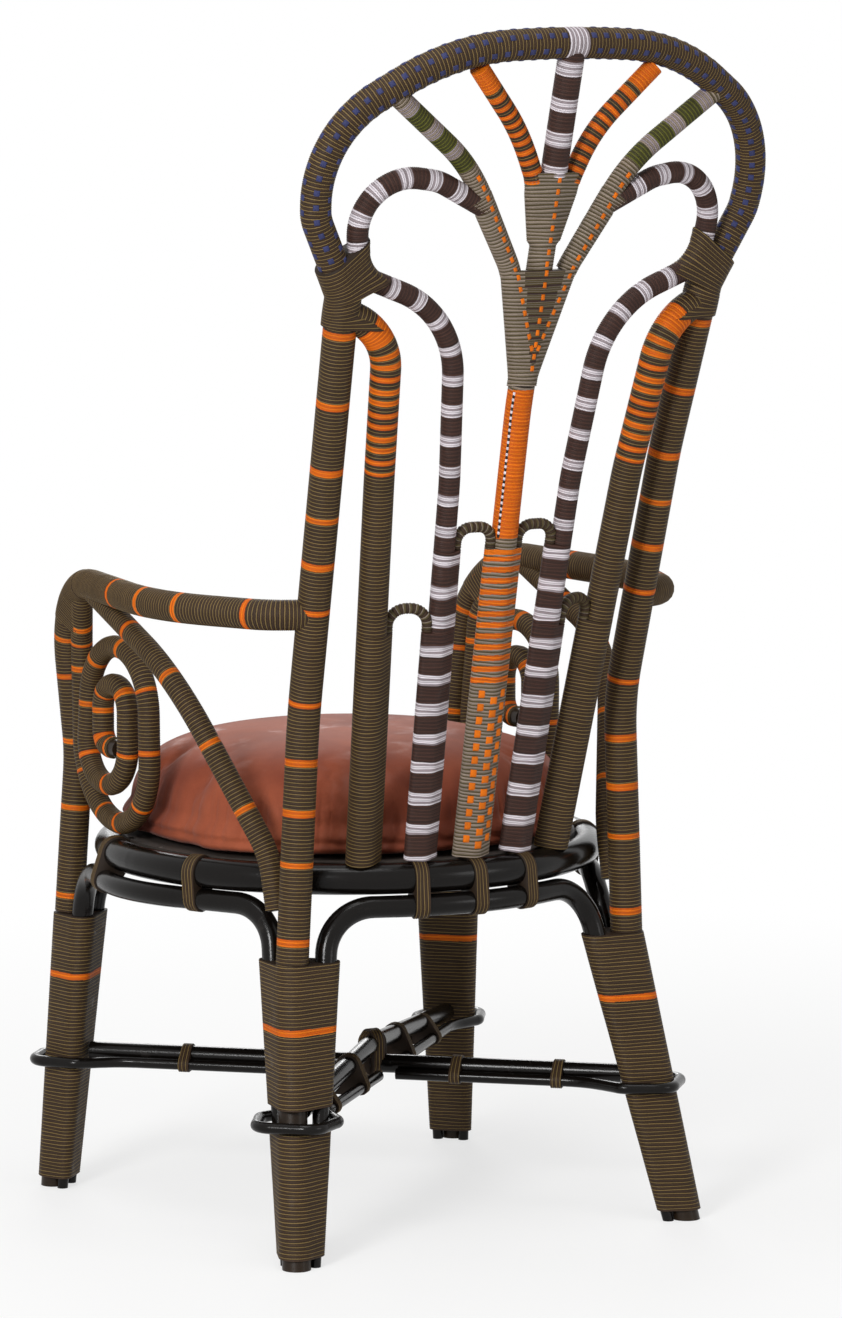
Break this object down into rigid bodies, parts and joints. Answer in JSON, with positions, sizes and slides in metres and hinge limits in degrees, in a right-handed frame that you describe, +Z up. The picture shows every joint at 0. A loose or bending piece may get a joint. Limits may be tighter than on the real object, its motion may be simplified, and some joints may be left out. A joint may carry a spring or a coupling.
{
  "type": "rattan throne chair",
  "caption": "Armchair of bent rattan poles wound with cord: round seat with a loose cushion, scrolled arms, stretchered legs and a high hooped back with a palm-leaf splat.",
  "frame": {"origin": "on the floor under the middle of the chair's overall width and depth", "axes": "+Z up, -Y the chair's front, +X the sitter's left"},
  "size_m": [0.6602, 0.7936, 1.366],
  "materials": {
    "rattan_pole": "stained rattan under the cord, nearly covered by it",
    "black_rattan": "black gloss lacquer",
    "brown_cord": "fine brown cord with an olive line, close wound, orange and blue accents",
    "grey_cord": "fine grey and olive cord, close wound, orange accents",
    "dark_cord": "fine dark brown cord with pale bands",
    "white_cord": "fine pale cord, close wound",
    "cushion_leather": "soft rust-brown leather, matt, gathered round the side",
    "deck_board": "plain board, hidden under the cushion",
    "dowel_wood": "plain beech, hidden",
    "steel": "plain countersunk screws, hidden"
  },
  "bodies": {
    "frame": {"rear_post_left": "rattan_pole", "rear_post_right": "rattan_pole", "arm_pole_left": "rattan_pole", "arm_pole_right": "rattan_pole", "arm_scroll_left": "rattan_pole", "arm_scroll_right": "rattan_pole", "arm_brace_left": "rattan_pole", "arm_brace_right": "rattan_pole", "seat_ring": "black_rattan", "apron_arch_back": "black_rattan", "apron_arch_front": "black_rattan", "apron_arch_left": "black_rattan", "apron_arch_right": "black_rattan", "crest_hoop": "rattan_pole", "back_stile_left": "rattan_pole", "back_stile_right": "rattan_pole", "hook_pole_left": "rattan_pole", "hook_pole_right": "rattan_pole", "centre_pole": "rattan_pole", "inner_frond_left": "rattan_pole", "inner_frond_right": "rattan_pole", "outer_frond_left": "rattan_pole", "outer_frond_right": "rattan_pole", "inner_link_left": "rattan_pole", "inner_link_right": "rattan_pole", "outer_link_left": "rattan_pole", "outer_link_right": "rattan_pole", "stretcher_lower": "black_rattan", "stretcher_upper": "black_rattan", "stretcher_loop_front_left": "black_rattan", "stretcher_loop_front_right": "black_rattan", "stretcher_loop_back_left": "black_rattan", "stretcher_loop_back_right": "black_rattan", "seat_deck": "deck_board", "deck_screws": "steel", "post_wrap_left": "brown_cord", "post_wrap_right": "brown_cord", "arm_wrap_left": "brown_cord", "arm_wrap_right": "brown_cord", "scroll_wrap_left": "brown_cord", "scroll_wrap_right": "brown_cord", "brace_wraps": "brown_cord", "crest_wrap": "brown_cord", "crest_band": "white_cord", "stile_wraps": "brown_cord", "hook_wraps": "dark_cord", "centre_wrap": "grey_cord", "frond_wraps": "grey_cord", "link_wraps": "brown_cord", "leg_wraps_front": "brown_cord", "leg_wraps_rear": "brown_cord", "shoulder_lashings": "brown_cord", "knuckle_lashings": "brown_cord", "ring_ties": "brown_cord", "stretcher_ties": "brown_cord", "crossing_lashing": "brown_cord", "palm_lashing": "grey_cord", "shoulder_dowels": "dowel_wood"},
    "cushion": {"seat_cushion": "cushion_leather"}
  },
  "joints": [
    {"name": "cushion_lift", "type": "slide", "parent": "frame", "child": "cushion", "axis": [0, 0, 1], "range_m": [0, 0.1]}
  ]
}
